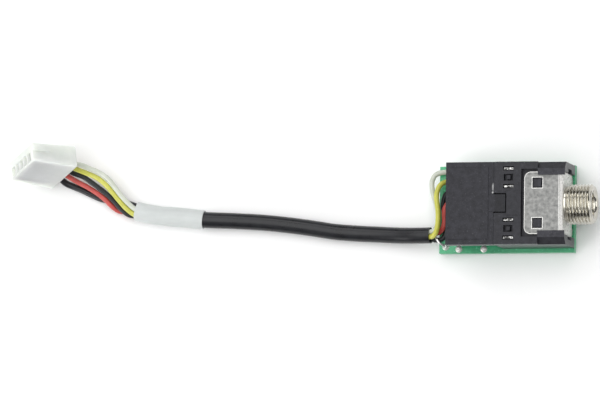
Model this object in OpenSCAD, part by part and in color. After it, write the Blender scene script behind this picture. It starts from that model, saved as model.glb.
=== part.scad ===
// Threaded 3.5 mm stereo jack on a small circuit board, with a short cable and a five way plug.
// X runs along the jack towards its mouth and Z is up. The solder under the board rests on Z = 0.
// X = 0 and Y = 0 are the middle of the board and jack together, without the cable.

/* [Board] */
// Length of the circuit board
board_l = 20.6; // [20.4:0.1:24]
// Width of the circuit board
board_w = 13; // [12.8:0.1:16]
// Thickness of the circuit board
board_t = 1.2; // [1:0.1:1.4]
// Height of the solder cones under the board
solder_h = 0.8; // [0.7:0.1:1]
// Distance between neighbouring lead pads
pad_pitch = 1.4; // [1.2:0.05:1.45]
// Distance from the board's rear edge to the lead pads
pad_inset = 1.7; // [1.6:0.05:1.9]
// Radius of a solder joint where it meets the board
solder_r = 0.55; // [0.45:0.05:0.6]

/* [Jack housing] */
// Length of the front housing
front_l = 10.75; // [10.5:0.05:10.9]
// Length of the rear housing
rear_l = 7.35; // [6.5:0.05:7.5]
// Width of both housings
housing_w = 12.3; // [12.2:0.1:12.5]
// Height of both housings above the board
housing_h = 7; // [6.9:0.1:8]
// Height of the plug's axis above the board
axis_h = 3.6; // [3.5:0.05:3.7]
// How far the jack sits off the middle of the board
jack_shift = 0.25; // [0:0.05:0.3]
// Thickness of the housing's side walls
side_wall = 0.7; // [0.5:0.05:0.75]
// Thickness of the front wall behind the metal plate
front_wall = 1.4; // [1.3:0.05:1.8]
// Thickness of the rear wall and the rear housing's roof
rear_wall = 1; // [0.8:0.05:1.2]
// Thickness of the roof under the metal plate
roof_t = 0.7; // [0.4:0.05:0.8]
// Length of the rear housing's latch tongue
tongue_l = 1.75; // [1.2:0.05:1.9]
// Width of the rear housing's latch tongue
tongue_w = 2.6; // [2.2:0.1:3]
// Thickness of the rear housing's latch tongue
tongue_t = 0.8; // [0.5:0.05:0.9]

/* [Bushing] */
// Outside diameter of the thread
thread_d = 6; // [5.8:0.1:6.4]
// How far the bushing stands out of the plate
nose_l = 4.2; // [3:0.1:8]
// Diameter of the plug's bore
bore_d = 3.6; // [3.55:0.05:3.8]
// Diameter of the spigot behind the thread
spigot_d = 4.8; // [4.5:0.1:5]
// Length of the spigot behind the plate
spigot_l = 0.9; // [0.6:0.05:1]
// Chamfer on the end of the thread
nose_chamfer = 0.35; // [0.2:0.05:0.5]

/* [Front plate] */
// Thickness of the sheet metal
plate_t = 0.4; // [0.3:0.05:0.5]
// Width of the plate
plate_w = 9.3; // [8.8:0.1:9.5]
// Length of the plate's top
plate_top_l = 5.85; // [5.6:0.05:6]
// How far the plate's front lies behind the board's edge
plate_setback = 0.35; // [0.3:0.05:0.6]
// Inside radius of the fold
bend_r = 0.25; // [0.15:0.05:0.4]
// Radius of the plate's rear corners
plate_corner_r = 1; // [0.5:0.1:1.3]
// Width of the square pegs through the plate
peg_w = 1.2; // [1:0.05:1.4]
// Width of the plate's legs
leg_w = 1; // [0.8:0.05:1.2]

/* [Contacts] */
// Width of the fixed contact blades
blade_w = 1.5; // [1.2:0.05:1.55]
// Thickness of the fixed contact blades
blade_t = 0.35; // [0.25:0.05:0.4]
// Thickness of the contact springs
leaf_t = 0.2; // [0.15:0.01:0.25]
// Height of the contact springs
leaf_h = 1.6; // [1.2:0.1:2]
// Distance of the break contacts from the plug's axis
break_y = 2.5; // [2.4:0.05:2.6]
// Gap between the make contacts and the side walls
make_gap = 0.125; // [0.05:0.025:0.2]
// How far a spring reaches into the plug's path
contact_reach = 0.6; // [0.4:0.05:0.7]

/* [Cable] */
// Outside diameter of the jacket
jacket_d = 2.4; // [2.36:0.02:2.4]
// Wall of the jacket
jacket_wall = 0.17; // [0.12:0.01:0.17]
// Diameter of the insulated leads
lead_d = 0.76; // [0.6:0.02:0.76]
// Diameter of the bare drain lead
drain_d = 0.36; // [0.3:0.02:0.36]
// Diameter of the tube over the drain lead
tube_d = 0.96; // [0.8:0.02:0.96]
// Wall of the white shrink sleeve
sleeve_wall = 0.2; // [0.1:0.01:0.2]

/* [Five way plug] */
// Distance between neighbouring circuits
plug_pitch = 1.25; // [1.2:0.01:1.3]
// Length of the plug from its mating face to its wire face
plug_l = 7.5; // [7.2:0.1:8.5]
// Thickness of the plug at its wire face
plug_t = 3.45; // [3.35:0.05:3.8]
// Distance from the last circuit to the plug's side
plug_side = 1.5; // [1.3:0.05:1.7]
// How far each side leans in towards the mating face
plug_draft = 0.25; // [0.1:0.05:0.3]

/* [Hidden] */
$fn = 48;

// Clearances: between pieces that fit together, at a touching contact, and where a cut runs past
slip = 0.05;
touch = 0.03;
over = 1;

// Levels and stations along X
board_top = solder_h + board_t;
total_l = board_l - plate_setback + nose_l;
board_x0 = -total_l / 2;
board_x1 = board_x0 + board_l;
plate_front = board_x1 - plate_setback;
plate_back = plate_front - plate_t;
nose_end = plate_front + nose_l;
seam_x = board_x1 - front_l;
rear_x = seam_x - rear_l;

// Heights in the housing, from the board's top
rail_t = 0.3;
plate_floor = housing_h - rail_t - plate_t;
chamber_h = plate_floor - roof_t;
chamber_x1 = plate_back - front_wall;
chamber_w = housing_w - 2 * side_wall;

// The plate's pocket, its overhanging rails, pegs and corner posts
plate_x0 = plate_front - plate_top_l;
pocket_rim = 0.4;
pocket_side = 0.4;
rail_back = 2.1;
rail_x0 = plate_x0 + rail_back;
rail_overlap = 0.5;
rail_chamfer = 1;
peg_back = 2;
peg_x = plate_x0 + peg_back;
peg_y = 3;
peg_gap = 0.17;
post_notch = [0.5, 0.6, 2.2];
post_notch_z = 2.3;
plate_foot = 0.25;
lip_gap = 0.3;
thread_relief = 0.3;
leg_inset = 0.4;
leg_y = plate_w / 2 - leg_w / 2 - leg_inset;
pin_tail = 0.5;

// Latch pad on the front housing, square pockets beside the contact slots
pad_rise = 0.12;
pad_w = 3.6;
notch_gap = 0.18;
pocket_l = 1.4;
pocket_w = 1;
pocket_depth = 0.8;
pocket_boss = 0.6;
blade_inset = 0.2;
slot_gap = 0.12;

// Rear housing: lower skirt set in under a lip, shallow raised panel on top
skirt_inset = 0.75;
lip_h = 1.9;
lip_z = housing_h - lip_h;
panel_rise = 0.1;
panel_border = 0.8;
rear_chamber_w = housing_w - 2 * skirt_inset - 2 * side_wall;

// Contacts: fixed blades near the seam, springs rooted in the rear housing
plug_r = 1.75;
blade_seat = 2.2;
blade_x = seam_x + blade_seat;
make_y = chamber_w / 2 - make_gap - blade_t / 2;
pocket_y = (break_y + make_y) / 2;
pin_w = 0.6;
pin_hole_d = 0.9;
pin_shoulder = 0.2;
leaf_y = break_y + blade_t / 2 + touch + leaf_t / 2;
hinge_gap = 1;
hinge_x = rear_x + rear_wall + hinge_gap;
terminal_seat = 0.45;
root_gap = leaf_t / 2 + touch;
tip_step = 0.85;
ring_step = 2.4;
tip_x = blade_x + blade_w / 2 + tip_step;
ring_x = tip_x + ring_step;
leaf_rise = 0.65;
leaf_nose = 0.8;
leaf_nose_y = 0.7;
leaf_bump_y = plug_r - contact_reach + leaf_t / 2;
make_back = 2.2;
make_x = blade_x - make_back;

// The cable's routes are laid out for a board with its rear edge at X = -12.225 and its top at Z = 2,
// and follow the board when its size changes
route_edge = -12.225;
route_top = 2;
cable_shift = [board_x0 - route_edge, 0, 0];
board_rise = [0, 0, board_top - route_top];

// The jacket's route, plug end first, and the short stretch where the leads leave the sleeve
jacket_route = [[-55.3, -0.3, 1.45], [-52.1, -0.6, 1.45], [-48.5, -1, 1.45], [-44.1, -1.2, 1.3],
                [-39.4, -1.5, 1.2], [-35.7, -1.9, 1.2], [-32.1, -2.4, 1.2], [-28.3, -3, 1.2],
                [-24.7, -3.3, 1.2], [-21.5, -3.5, 1.4], [-18.5, -3.7, 1.8], [-15.9, -3.8, 2.3],
                [-13.4, -3.8, 2.6]];
mouth_route = [[-58.9, 0.4, 1.45], [-57.1, 0, 1.45]];
sleeve_route = concat(mouth_route, [for (i = [0:2]) jacket_route[i]]);
sleeve_d = jacket_d + 2 * (slip + sleeve_wall);

// Four leads sit round the drain lead in the jacket and open out at the sleeve's mouth. Each pair holds
// the angle round the cable, or the distance from its middle, at the mouth and in the jacket
lead_ring = [0.78, 0.58];
drain_ring = [0.66, 0];
drain_angle = [-10, -18];
grey_angle = [76, 38];
yellow_angle = [140, 120];
black_angle = [201, 204];
red_angle = [262, 286];

// Routes of the leads between the plug and the sleeve
grey_plug_route = [[-66.7, 7.1, 3.9], [-65.8, 6.7, 3.3], [-64.4, 6.1, 2.9], [-63.1, 5.2, 2.8],
                   [-62.1, 4, 2.7], [-61.2, 2.8, 2.6], [-60.1, 1.6, 2.4]];
yellow_plug_route = [[-67.5, 6.5, 3.2], [-66.2, 6, 2.6], [-64.9, 5.4, 2.4], [-63.7, 4.5, 2.4],
                     [-62.6, 3.3, 2.3], [-61.5, 2, 2.2], [-60.3, 0.7, 2.1]];
black_plug_route = [[-68.5, 6.1, 2.5], [-67.1, 5.6, 2], [-65.9, 4.8, 1.8], [-64.7, 3.9, 1.7],
                    [-63.4, 2.9, 1.7], [-62.3, 1.8, 1.6], [-61.4, 0.8, 1.5], [-60.2, -0.1, 1.3]];
red_plug_route = [[-69.3, 5.6, 1.8], [-68.1, 4.9, 1.4], [-66.4, 4, 1.3], [-64.7, 2.9, 1.4],
                  [-63.7, 2.1, 1.5], [-62.7, 1.1, 1.1], [-61.7, 0.5, 0.7], [-60.3, 0.4, 0.6]];
drain_plug_route = [[-70.1, 4.8, 0.9], [-69.2, 4.4, 0.6], [-67.5, 3.7, 0.5], [-65.8, 2.9, 0.5],
                    [-64.6, 2.4, 0.5], [-63.1, 2.1, 0.5], [-61.8, 2, 0.6], [-60.4, 1.6, 1]];

// Routes of the leads between the jacket and the board
grey_board_route = [[-12.9, -3.2, 3.1], [-12.5, -2.8, 3.1], [-12.3, -2.1, 3], [-12.3, -1.2, 2.9],
                    [-12.4, -0.2, 2.9], [-12.6, 1, 3], [-12.9, 2, 3.2], [-13.1, 3.1, 3.4],
                    [-13.1, 4.2, 3.4], [-12.7, 5.1, 3.2], [-11.9, 5.5, 2.9], [-11.1, 5.6, 2.6]];
yellow_board_route = [[-12.8, -4, 3.6], [-12.3, -3.5, 4], [-12, -2.7, 4.3], [-11.9, -1.6, 4.4],
                      [-11.9, -0.4, 4.4], [-12.1, 0.9, 4.4], [-12.2, 2, 4.3], [-12, 3.1, 4],
                      [-11.6, 3.8, 3.5], [-11.1, 4.1, 2.9]];
black_board_route = [[-12.8, -4.5, 2.3], [-12.1, -4.5, 2.4], [-11.5, -4.2, 2.4], [-11.2, -3.5, 2.4],
                     [-11.1, -2.6, 2.4], [-11.2, -1.6, 2.4], [-11.4, -0.5, 2.4], [-11.6, 0.5, 2.5],
                     [-11.5, 1.6, 2.5], [-11.1, 2.4, 2.5]];
red_board_route = [[-12.7, -3.5, 2.3], [-12.1, -3.4, 2.7], [-11.5, -2.9, 3.1], [-11.2, -2.1, 3.3],
                   [-11.2, -1.1, 3.3], [-11.2, -0.1, 3.3], [-10.9, 0.7, 3]];
drain_board_route = [[-12.9, -3.9, 2.7], [-12.4, -4.4, 3.1], [-11.9, -5, 3]];
cord_sides = 8;

// Lead joints on the board's top: four pads in a row and the drain's pad near the corner
pad_x = board_x0 + pad_inset;
pad_y0 = 5.5;
lead_pads = [for (i = [0:3]) [pad_x, pad_y0 - i * pad_pitch]];
drain_inset = 1;
drain_pad = [board_x0 + drain_inset, drain_inset - board_w / 2];
lead_bed = 0.45;
lead_joint_h = 0.6;
lead_joint_top = 0.6;
lead_hole_d = 0.8;
side_joint_x = [3, 6.8];
side_joint_inset = 0.62;
side_joints = [for (x = side_joint_x) [board_x0 + x, side_joint_inset - board_w / 2]];
side_joint_h = 0.3;

// The plug lies tipped on one corner; its place is the middle of its row of circuits at the wire face
plug_at = [-69.5, 6.4, 3.45];
plug_tilt = [156.5, 42, -5];
plug_ways = 5;
middle_way = (plug_ways + 1) / 2;
plug_w = (plug_ways - 1) * plug_pitch + 2 * plug_side;
row_shift = 0.5;
socket_w = 1;
socket_t = 1.5;
key_w = 0.3;
key_t = 1.1;
key_l = 3;
lance_l = 1.4;
lance_x = 4.4;
crimp_w = 0.8;
crimp_t = 1.3;
crimp_wall = 0.15;
crimp_l = 3;
barrel_l = 1.8;
barrel_x = 2;
lead_out = 0.6;
tube_out = 0.4;

// Directions of the tipped plug: towards its wires, and along its row of circuits
plug_u = [cos(plug_tilt[1]) * cos(plug_tilt[2]), cos(plug_tilt[1]) * sin(plug_tilt[2]),
          -sin(plug_tilt[1])];
plug_row = [cos(plug_tilt[2]) * sin(plug_tilt[1]) * cos(plug_tilt[0])
            + sin(plug_tilt[2]) * sin(plug_tilt[0]),
            sin(plug_tilt[2]) * sin(plug_tilt[1]) * cos(plug_tilt[0])
            - cos(plug_tilt[2]) * sin(plug_tilt[0]),
            cos(plug_tilt[1]) * cos(plug_tilt[0])];

function unit(v) = v / norm(v);

// Outline of a folded strip of thickness t along the plan points p
function left_of(a, b) = let (d = unit(b - a)) [-d[1], d[0]];
function mitre(p, i) =
    let (last = len(p) - 1,
         n1 = left_of(p[max(i - 1, 0)], p[max(i, 1)]),
         n2 = left_of(p[min(i, last - 1)], p[min(i + 1, last)]))
    (n1 + n2) / (1 + n1 * n2);
function strip_outline(p, t) =
    concat([for (i = [0:len(p) - 1]) p[i] + mitre(p, i) * t / 2],
           [for (i = [len(p) - 1:-1:0]) p[i] - mitre(p, i) * t / 2]);

// Tangents along a route, and a sideways direction carried along it without twisting
function tangent(p, i) = unit(p[min(i + 1, len(p) - 1)] - p[max(i - 1, 0)]);
function carried(s, t) = unit(s - (s * t) * t);
function sideways(p) =
    [for (i = 0, s = carried([0, 1, 0], tangent(p, 0)); i < len(p);
          i = i + 1, s = i < len(p) ? carried(s, tangent(p, i)) : s) s];

// Rings of points round a route, and the faces between the rings
function rings(p, r) =
    let (s = sideways(p))
    [for (i = [0:len(p) - 1], k = [0:cord_sides - 1])
        let (a = 360 * k / cord_sides, t = tangent(p, i))
        p[i] + r * (cos(a) * s[i] + sin(a) * cross(t, s[i]))];
function side_faces(first, count, outward) =
    [for (i = [0:count - 2], k = [0:cord_sides - 1])
        let (a = first + i * cord_sides + k, b = first + i * cord_sides + (k + 1) % cord_sides,
             face = [a, a + cord_sides, b + cord_sides, b])
        outward ? face : [face[3], face[2], face[1], face[0]]];

// A place in the plug, given by its distance behind the wire face and its circuit
function in_plug(x, way) = plug_at + plug_u * x + plug_row * (way - middle_way) * plug_pitch;

// A lead's places round the middle of the bundle at one station of a route
function bundled(p, i, angle, r) =
    let (t = tangent(p, i), s = carried([0, 1, 0], t))
    p[i] + r * (cos(angle) * s + sin(angle) * cross(t, s));

// The whole route of a lead: out of the plug, through sleeve and jacket, down to its pad
function lead_route(way, plug_end, angle, ring, board_end, pad) =
    concat([in_plug(-barrel_x, way), in_plug(lead_out, way)], plug_end,
           [bundled(sleeve_route, 0, angle[0], ring[0]),
            bundled(sleeve_route, 1, (angle[0] + angle[1]) / 2, (ring[0] + ring[1]) / 2)],
           [for (i = [0:len(jacket_route) - 1]) bundled(jacket_route, i, angle[1], ring[1])],
           [for (q = board_end) q + board_rise],
           [[pad[0] - cable_shift[0], pad[1], board_top + lead_bed]]);

module at_jack() {
    translate([0, jack_shift, board_top]) children();
}

module along_axis(x) {
    translate([x, 0, axis_h]) rotate([0, 90, 0]) children();
}

module in_plug_frame() {
    translate(cable_shift + plug_at) rotate(plug_tilt) children();
}

// A box with its low X and low Z given, centred in Y
module slab(x, z, l, w, h) {
    translate([x, -w / 2, z]) cube([l, w, h]);
}

module strip(p, t, z, h) {
    translate([0, 0, z]) linear_extrude(h) polygon(strip_outline(p, t));
}

module cord(route, d) {
    n = len(route);
    polyhedron(rings(route, d / 2),
               concat([[for (k = [0:cord_sides - 1]) k]], side_faces(0, n, true),
                      [[for (k = [cord_sides - 1:-1:0]) (n - 1) * cord_sides + k]]));
}

module hollow_cord(route, d, wall) {
    n = len(route);
    inner = n * cord_sides;
    end = (n - 1) * cord_sides;
    polyhedron(concat(rings(route, d / 2), rings(route, d / 2 - wall)),
               concat(side_faces(0, n, true), side_faces(inner, n, false),
                      [for (k = [0:cord_sides - 1])
                          let (m = (k + 1) % cord_sides) [k, m, inner + m, inner + k]],
                      [for (k = [0:cord_sides - 1])
                          let (m = (k + 1) % cord_sides)
                          [end + m, end + k, inner + end + k, inner + end + m]]));
}

// Places of the pins of the fixed contacts in the jack's frame
blade_pins = [for (side = [-1, 1], y = [break_y, make_y]) [blade_x, side * y]];
root_pins = [for (side = [-1, 1]) [hinge_x - root_gap - pin_w / 2, side * leaf_y]];
contact_pins = concat(blade_pins, root_pins);

module circuit_board() {
    color("seagreen") difference() {
        translate([board_x0, -board_w / 2, solder_h]) cube([board_l, board_w, board_t]);
        for (p = contact_pins)
            translate([p[0], p[1] + jack_shift, 0]) cylinder(d = pin_hole_d, h = board_top + over);
        for (p = concat(lead_pads, [drain_pad]))
            translate([p[0], p[1], 0]) cylinder(d = lead_hole_d, h = board_top + over);
        for (side = [-1, 1])
            translate([plate_back - slip, side * leg_y - leg_w / 2 - slip + jack_shift, 0])
                cube([plate_t + 2 * slip, leg_w + 2 * slip, board_top + over]);
    }
}

// A solder joint through the board round a lead's end
module lead_joint() {
    cylinder(r1 = solder_r / 2, r2 = solder_r, h = solder_h);
    cylinder(d = lead_hole_d - 2 * slip, h = board_top + slip);
    translate([0, 0, board_top])
        cylinder(r1 = solder_r, r2 = solder_r * lead_joint_top, h = lead_joint_h);
}

module solder_joints() {
    color("lightgray") {
        for (p = concat(lead_pads, [drain_pad]))
            translate([p[0], p[1], 0]) lead_joint();
        for (p = contact_pins)
            translate([p[0], p[1] + jack_shift, 0]) difference() {
                cylinder(r1 = solder_r / 2, r2 = solder_r, h = solder_h);
                translate([0, 0, solder_h]) cube([pin_w, blade_t, 2 * pin_tail], center = true);
            }
        for (side = [-1, 1])
            translate([plate_back + plate_t / 2, side * leg_y + jack_shift, 0]) difference() {
                rotate([90, 0, 0]) linear_extrude(leg_w + 2 * blade_t, center = true)
                    polygon([[-plate_t / 2, 0], [plate_t / 2, 0], [plate_t, solder_h],
                             [-plate_t, solder_h]]);
                translate([0, 0, solder_h]) cube([plate_t, leg_w, 2 * pin_tail], center = true);
            }
        for (p = side_joints)
            translate([p[0], p[1], board_top])
                cylinder(r1 = solder_r, r2 = solder_r / 2, h = side_joint_h);
    }
}

// What is cut from the front housing for the plate, above its floor and in front of its wall
module plate_space() {
    slab(plate_x0 - pocket_rim, plate_floor, rail_x0 - plate_x0 + pocket_rim,
         plate_w + 2 * pocket_side, over + rail_t + plate_t);
    slab(rail_x0 - over / 2, plate_floor, board_x1 - rail_x0 + over, plate_w + 2 * slip, plate_t + slip);
    slab(rail_x0 - over / 2, plate_floor, board_x1 - rail_x0 + over, plate_w - 2 * rail_overlap,
         over + rail_t + plate_t);
    slab(plate_back, -over, plate_setback + plate_t + over, plate_w + 2 * slip, plate_floor + over);
    translate([plate_back, 0, plate_floor]) rotate([0, 45, 0])
        cube([bend_r * sqrt(2), plate_w, bend_r * sqrt(2)], center = true);
}

module front_housing() {
    color([0.13, 0.13, 0.15]) at_jack() {
        difference() {
            union() {
                slab(seam_x, 0, front_l, housing_w, housing_h);
                slab(seam_x + tongue_l + notch_gap, housing_h - pad_rise,
                     plate_x0 - pocket_rim - seam_x - tongue_l - notch_gap, pad_w, 2 * pad_rise);
            }
            slab(seam_x - over, -over, chamber_x1 - seam_x + over, chamber_w, chamber_h + over);
            plate_space();
            along_axis(plate_back - spigot_l - slip) cylinder(d = spigot_d + 2 * slip, h = front_wall);
            along_axis(chamber_x1 - over) cylinder(d = bore_d + 2 * lip_gap, h = front_wall + over);
            for (p = blade_pins)
                translate([p[0], p[1], housing_h])
                    cube([blade_w + slot_gap, blade_t + 2 * slot_gap, 2 * (housing_h - chamber_h) + over],
                         center = true);
            for (side = [-1, 1])
                translate([blade_x, side * pocket_y, housing_h]) difference() {
                    cube([pocket_l, pocket_w, 2 * pocket_depth], center = true);
                    cube([pocket_boss, pocket_boss, 2 * pocket_depth + over], center = true);
                }
            slab(seam_x - over, housing_h - tongue_t - 2 * slip, tongue_l + notch_gap + over,
                 tongue_w + 2 * notch_gap, tongue_t + over);
            for (side = [-1, 1])
                translate([rail_x0, side * housing_w / 2, housing_h]) rotate([45, 0, 0])
                    translate([0, -rail_chamfer / sqrt(2), -rail_chamfer / sqrt(2)])
                    cube([board_x1 - rail_x0 + over, rail_chamfer * sqrt(2), rail_chamfer * sqrt(2)]);
            for (side = [-1, 1])
                translate([board_x1, side * plate_w / 2, post_notch_z + post_notch[2] / 2])
                    cube([2 * post_notch[0], 2 * post_notch[1], post_notch[2]], center = true);
        }
        for (side = [-1, 1])
            translate([peg_x - peg_w / 2, side * peg_y - peg_w / 2, plate_floor - slip])
                cube([peg_w, peg_w, plate_t + slip]);
    }
}

module rear_housing() {
    body_l = rear_l - slip;
    skirt_w = housing_w - 2 * skirt_inset;
    color([0.14, 0.14, 0.16]) at_jack() difference() {
        union() {
            slab(rear_x, lip_z, body_l, housing_w, housing_h - panel_rise - lip_z);
            slab(rear_x, 0, body_l, skirt_w, lip_z + over);
            slab(rear_x + panel_border / 2, lip_z, body_l - 1.5 * panel_border,
                 housing_w - 2 * panel_border, housing_h - lip_z);
            slab(seam_x - over, housing_h - tongue_t - slip, tongue_l + over, tongue_w, tongue_t);
        }
        slab(rear_x + rear_wall, -over, rear_l, rear_chamber_w, housing_h - rear_wall - rail_t + over);
        for (side = [-1, 1])
            translate([rear_x + rear_wall - terminal_seat - slip,
                       side * leaf_y - blade_t / 2 - slip, -over])
                cube([rear_wall, blade_t + 2 * slip, axis_h + leaf_h / 2 + slip + over]);
    }
}

module front_plate() {
    bend_out = bend_r + plate_t;
    color([0.75, 0.75, 0.73]) at_jack() difference() {
        union() {
            rotate([90, 0, 0]) linear_extrude(plate_w, center = true) {
                translate([plate_x0, plate_floor]) square([plate_top_l - bend_out, plate_t]);
                translate([plate_back, plate_foot])
                    square([plate_t, plate_floor - bend_r - plate_foot]);
                translate([plate_back - bend_r, plate_floor - bend_r]) intersection() {
                    difference() {
                        circle(r = bend_out);
                        circle(r = bend_r);
                    }
                    square(bend_out);
                }
            }
            for (side = [-1, 1])
                translate([plate_back, side * leg_y - leg_w / 2, -board_t - pin_tail])
                    cube([plate_t, leg_w, plate_foot + board_t + pin_tail + slip]);
        }
        for (side = [-1, 1])
            translate([peg_x, side * peg_y, plate_floor])
                cube([peg_w + 2 * peg_gap, peg_w + 2 * peg_gap, 4 * plate_t], center = true);
        for (side = [-1, 1])
            translate([plate_x0, side * plate_w / 2, plate_floor - plate_t]) difference() {
                cube([2 * plate_corner_r, 2 * plate_corner_r, 6 * plate_t], center = true);
                translate([plate_corner_r, -side * plate_corner_r, 0])
                    cylinder(r = plate_corner_r, h = 8 * plate_t, center = true);
            }
        along_axis(plate_back - over) cylinder(d = spigot_d + 2 * slip, h = 2 * over + plate_t);
    }
}

module threaded_bushing() {
    relief_l = plate_setback + slip;
    relief_d = thread_d - 2 * thread_relief;
    thread_l = nose_l - relief_l - nose_chamfer;
    color([0.78, 0.78, 0.72]) at_jack() along_axis(plate_back - spigot_l) difference() {
        union() {
            cylinder(d = spigot_d, h = spigot_l + plate_t + over);
            translate([0, 0, spigot_l + plate_t]) cylinder(d = relief_d, h = nose_l - nose_chamfer);
            translate([0, 0, spigot_l + plate_t + relief_l]) cylinder(d = thread_d, h = thread_l);
            translate([0, 0, spigot_l + plate_t + nose_l - nose_chamfer])
                cylinder(d1 = thread_d, d2 = thread_d - 2 * nose_chamfer, h = nose_chamfer);
        }
        translate([0, 0, -over]) cylinder(d = bore_d, h = nose_l + plate_t + spigot_l + 2 * over);
        translate([0, 0, spigot_l + plate_t + nose_l - nose_chamfer])
            cylinder(d1 = bore_d, d2 = bore_d + 4 * nose_chamfer, h = 2 * nose_chamfer);
    }
}

// A pin through the board below a fixed contact
module contact_pin(x, y) {
    translate([x - pin_w / 2, y - blade_t / 2, -board_t - pin_tail])
        cube([pin_w, blade_t, board_t + pin_tail + pin_shoulder + slip]);
}

// The blade that a spring is welded to, seated in the rear wall
module root_terminal(side) {
    x0 = rear_x + rear_wall - terminal_seat;
    top = axis_h + leaf_h / 2;
    translate([x0, side * leaf_y - blade_t / 2, pin_shoulder])
        cube([hinge_x - root_gap - x0, blade_t, top - pin_shoulder]);
    contact_pin(hinge_x - root_gap - pin_w / 2, side * leaf_y);
}

// A contact spring: straight along the chamber, then bent in to the plug and out again at its end
module leaf(side, contact_x) {
    bump = [contact_x, side * leaf_bump_y];
    strip([[hinge_x, side * leaf_y], [contact_x - leaf_rise, side * leaf_y], bump,
           bump + [leaf_nose, side * leaf_nose_y]], leaf_t, axis_h - leaf_h / 2, leaf_h);
    translate([hinge_x, side * leaf_y, axis_h - leaf_h / 2]) cylinder(d = leaf_t, h = leaf_h);
}

// A blade up to its slot in the roof
module slot_blade(y) {
    translate([blade_x - blade_w / 2, y - blade_t / 2, pin_shoulder])
        cube([blade_w, blade_t, housing_h - blade_inset - pin_shoulder]);
    contact_pin(blade_x, y);
}

// A blade with an arm that the spring meets when the plug has pushed it aside
module make_contact(side, contact_x) {
    travel = contact_reach * (make_x - hinge_x) / (contact_x - hinge_x);
    arm_y = leaf_y + leaf_t / 2 + travel + 2 * touch + blade_t / 2;
    slot_blade(side * make_y);
    strip([[blade_x + blade_w / 2, side * make_y], [blade_x - blade_w / 2, side * make_y],
           [make_x + leaf_rise, side * arm_y], [make_x - leaf_rise, side * arm_y]],
          blade_t, axis_h - leaf_h / 2, leaf_h);
}

module tip_terminal() {
    color("goldenrod") at_jack() root_terminal(1);
}

module ring_terminal() {
    color("goldenrod") at_jack() root_terminal(-1);
}

module tip_spring() {
    color("peru") at_jack() leaf(1, tip_x);
}

module ring_spring() {
    color("peru") at_jack() leaf(-1, ring_x);
}

module tip_break_contact() {
    color("silver") at_jack() slot_blade(break_y);
}

module ring_break_contact() {
    color("silver") at_jack() slot_blade(-break_y);
}

module tip_make_contact() {
    color("silver") at_jack() make_contact(1, tip_x);
}

module ring_make_contact() {
    color("silver") at_jack() make_contact(-1, ring_x);
}

module cable_jacket() {
    color([0.1, 0.1, 0.11]) translate(cable_shift) hollow_cord(jacket_route, jacket_d, jacket_wall);
}

module shrink_sleeve() {
    color([0.88, 0.9, 0.89]) translate(cable_shift) hollow_cord(sleeve_route, sleeve_d, sleeve_wall);
}

drain_route = lead_route(5, drain_plug_route, drain_angle, drain_ring, drain_board_route, drain_pad);

module grey_lead() {
    color("lightgray") translate(cable_shift)
        cord(lead_route(1, grey_plug_route, grey_angle, lead_ring, grey_board_route, lead_pads[0]),
             lead_d);
}

module yellow_lead() {
    color("gold") translate(cable_shift)
        cord(lead_route(2, yellow_plug_route, yellow_angle, lead_ring, yellow_board_route, lead_pads[1]),
             lead_d);
}

module black_lead() {
    color([0.15, 0.15, 0.15]) translate(cable_shift)
        cord(lead_route(3, black_plug_route, black_angle, lead_ring, black_board_route, lead_pads[2]),
             lead_d);
}

module red_lead() {
    color("firebrick") translate(cable_shift)
        cord(lead_route(4, red_plug_route, red_angle, lead_ring, red_board_route, lead_pads[3]),
             lead_d);
}

module drain_lead() {
    color("silver") translate(cable_shift) cord(drain_route, drain_d);
}

// The tube covers the drain lead from just outside the plug to just inside the sleeve
module drain_tube() {
    tube_route = concat([in_plug(tube_out, 5)], drain_plug_route,
                        [bundled(sleeve_route, 0, drain_angle[0], drain_ring[0])]);
    color([0.12, 0.12, 0.13]) translate(cable_shift)
        hollow_cord(tube_route, tube_d, (tube_d - drain_d) / 2 - slip);
}

// The row of circuits lies nearer to one broad side; both ends of a circuit are open
// Outline of the plug, width w at its wire face and leaning in towards the mating face
function plug_outline(w) =
    [[0, -w / 2], [0, w / 2], [-plug_l, w / 2 - plug_draft], [-plug_l, plug_draft - w / 2]];

module plug_housing() {
    back_y = -row_shift - plug_t / 2;
    color([0.93, 0.94, 0.92]) in_plug_frame() difference() {
        union() {
            translate([0, -row_shift, 0]) intersection() {
                linear_extrude(plug_w + over, center = true) polygon(plug_outline(plug_t));
                rotate([90, 0, 0]) linear_extrude(plug_t + over, center = true) polygon(plug_outline(plug_w));
            }
            for (side = [-1, 1])
                translate([-plug_l + key_l / 2, back_y + 2 * plug_draft + key_t / 2,
                           side * (plug_w / 2 - plug_draft)])
                    cube([key_l, key_t, 2 * key_w], center = true);
        }
        for (way = [1:plug_ways]) {
            z = (way - middle_way) * plug_pitch;
            translate([-plug_l / 2, 0, z]) cube([plug_l + over, socket_t, socket_w], center = true);
            translate([-lance_x - lance_l / 2, back_y, z])
                cube([lance_l, -2 * back_y, socket_w - 4 * slip], center = true);
        }
    }
}

// A crimp terminal: an open box for the mating pin, then a barrel round the lead's end
module crimp_terminal(way) {
    x0 = -barrel_x - barrel_l - crimp_l;
    color("silver") in_plug_frame() translate([0, 0, (way - middle_way) * plug_pitch]) {
        difference() {
            translate([x0, -crimp_t / 2, -crimp_w / 2]) cube([crimp_l, crimp_t, crimp_w]);
            translate([x0 - over, -crimp_t / 2 + crimp_wall, -crimp_w / 2 + crimp_wall])
                cube([crimp_l, crimp_t - 2 * crimp_wall, crimp_w - 2 * crimp_wall]);
        }
        translate([x0 + crimp_l - slip, 0, 0]) rotate([0, 90, 0])
            cylinder(d = crimp_w, h = barrel_l + slip);
    }
}

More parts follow.
